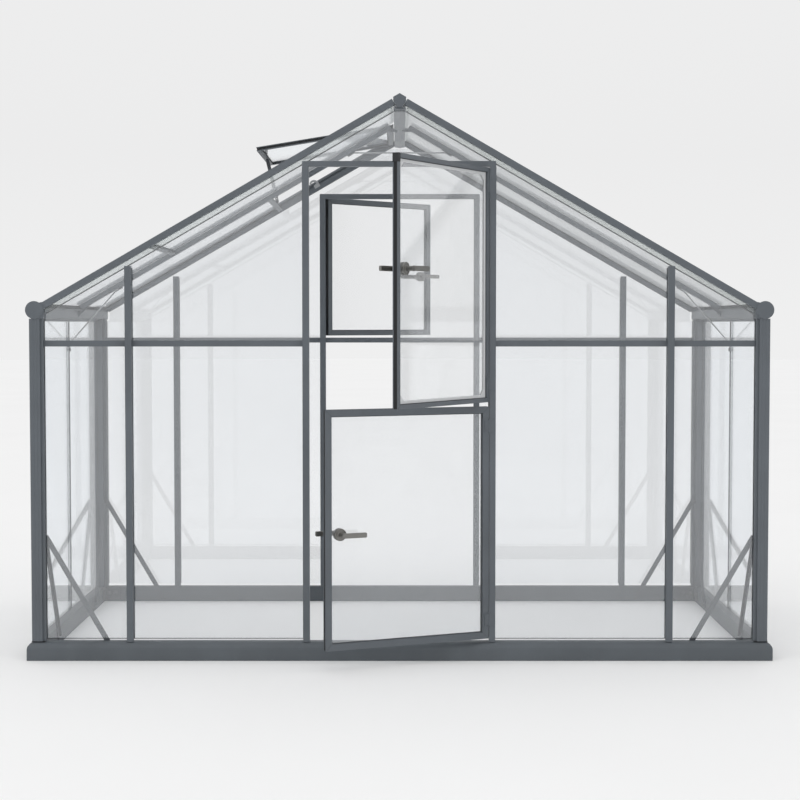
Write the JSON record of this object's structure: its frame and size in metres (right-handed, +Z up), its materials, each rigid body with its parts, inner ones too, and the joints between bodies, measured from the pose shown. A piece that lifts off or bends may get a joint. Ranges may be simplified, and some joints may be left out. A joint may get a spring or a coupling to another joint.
{
  "type": "greenhouse",
  "caption": "Walk-in gable greenhouse with a painted aluminium frame, clear glass, a split two-leaf door, a rear window sash and a roof vent.",
  "frame": {"origin": "middle of the front base rail's underside, on the floor", "axes": "+X to the right seen from the door end, +Y towards the rear gable, +Z up"},
  "size_m": [3.093, 2.6451, 2.339],
  "materials": {
    "base_paint": "fine-textured anthracite powder coat, darker base rails",
    "frame_paint": "satin anthracite powder coat with a fine grain",
    "leaf_paint": "satin anthracite powder coat with a fine grain",
    "brace_paint": "satin anthracite powder coat on flat strip",
    "tie_metal": "dull mill aluminium",
    "clear_glass": "clear horticultural glass with seamed edges",
    "leaf_glass": "clear toughened glass",
    "lever_metal": "warm dark satin nickel",
    "black_rubber": "black glazing gasket",
    "pale_seal": "pale grey glazing bead",
    "bolt_metal": "zinc plated fixings"
  },
  "bodies": {
    "frame": {"base_rail_front": "base_paint", "base_rail_back": "base_paint", "base_rail_left": "base_paint", "base_rail_right": "base_paint", "corner_post_front_left": "frame_paint", "corner_post_front_right": "frame_paint", "corner_post_back_left": "frame_paint", "corner_post_back_right": "frame_paint", "gable_bar_front_left": "frame_paint", "gable_bar_front_right": "frame_paint", "gable_bar_back_left": "frame_paint", "gable_bar_back_right": "frame_paint", "door_surround": "frame_paint", "window_surround": "frame_paint", "mid_rail_front_left": "frame_paint", "mid_rail_front_right": "frame_paint", "mid_rail_back": "frame_paint", "side_bar_left": "frame_paint", "side_bar_right": "frame_paint", "eaves_gutter_left": "frame_paint", "eaves_gutter_right": "frame_paint", "ridge_beam": "frame_paint", "rafter_front_left": "frame_paint", "rafter_back_left": "frame_paint", "rafter_middle_left": "frame_paint", "rafter_front_right": "frame_paint", "rafter_back_right": "frame_paint", "rafter_middle_right": "frame_paint", "vent_sill": "frame_paint", "roof_crossbar": "frame_paint", "corner_brace_front_left": "brace_paint", "corner_brace_front_right": "brace_paint", "corner_brace_back_left": "brace_paint", "corner_brace_back_right": "brace_paint", "knee_rod_left": "tie_metal", "knee_rod_right": "tie_metal", "collar_tie": "tie_metal", "pane_front_left": "clear_glass", "pane_front_right": "clear_glass", "pane_front_top": "clear_glass", "pane_back_left": "clear_glass", "pane_back_right": "clear_glass", "pane_back_top": "clear_glass", "pane_side_left": "clear_glass", "pane_side_right": "clear_glass", "pane_roof_right": "clear_glass", "pane_roof_left_front": "clear_glass", "pane_roof_left_back": "clear_glass"},
    "lower_door": {"lower_door_frame": "leaf_paint", "lower_door_glass": "leaf_glass"},
    "lower_handle": {"lower_lever": "lever_metal"},
    "upper_door": {"upper_door_frame": "leaf_paint", "upper_door_glass": "leaf_glass"},
    "upper_handle": {"upper_lever": "lever_metal"},
    "rear_window": {"rear_window_frame": "leaf_paint", "rear_window_glass": "leaf_glass"},
    "window_handle": {"window_lever": "lever_metal"},
    "roof_vent": {"vent_frame": "leaf_paint", "vent_glass": "leaf_glass"},
    "vent_stay": {"vent_stay": "tie_metal"}
  },
  "joints": [
    {"name": "lower_door_hinge", "type": "hinge", "parent": "frame", "child": "lower_door", "pos_m": [0.3695, 0, 0.5725], "axis": [0, 0, 1], "range_deg": [-23.2, 78.8]},
    {"name": "upper_door_hinge", "type": "hinge", "parent": "frame", "child": "upper_door", "pos_m": [0.3695, 0, 1.554], "axis": [0, 0, 1], "range_deg": [-58.7, 43.3]},
    {"name": "rear_window_hinge", "type": "hinge", "parent": "frame", "child": "rear_window", "pos_m": [-0.374, 1.5295, 1.68175], "axis": [0, 0, 1], "range_deg": [-43.8, 46.2]},
    {"name": "lower_handle_turn", "type": "hinge", "parent": "lower_door", "child": "lower_handle", "pos_m": [-0.23949, -0.24687, 0.555], "axis": [-0.3939, 0.9191, 0], "range_deg": [0, 90]},
    {"name": "upper_handle_turn", "type": "hinge", "parent": "upper_door", "child": "upper_handle", "pos_m": [0.01707, -0.55463, 1.6045], "axis": [-0.8545, 0.5195, 0], "range_deg": [0, 90]},
    {"name": "window_handle_turn", "type": "hinge", "parent": "rear_window", "child": "window_handle", "pos_m": [0.10919, 1.97486, 1.645], "axis": [0.6921, -0.7218, 0], "range_deg": [0, 90]},
    {"name": "vent_hinge", "type": "hinge", "parent": "frame", "child": "roof_vent", "pos_m": [-0.03211, 1.1325, 2.30281], "axis": [0, 1, 0], "range_deg": [-20.7, 0]},
    {"name": "vent_stay_pin", "type": "hinge", "parent": "roof_vent", "child": "vent_stay", "pos_m": [-0.63186, 1.1325, 2.17825], "axis": [0, 1, 0], "range_deg": [-85.2, 0]}
  ],
  "couplings": [
    {"joint": "vent_stay_pin", "follows": "vent_hinge", "ratio": 4.1}
  ]
}
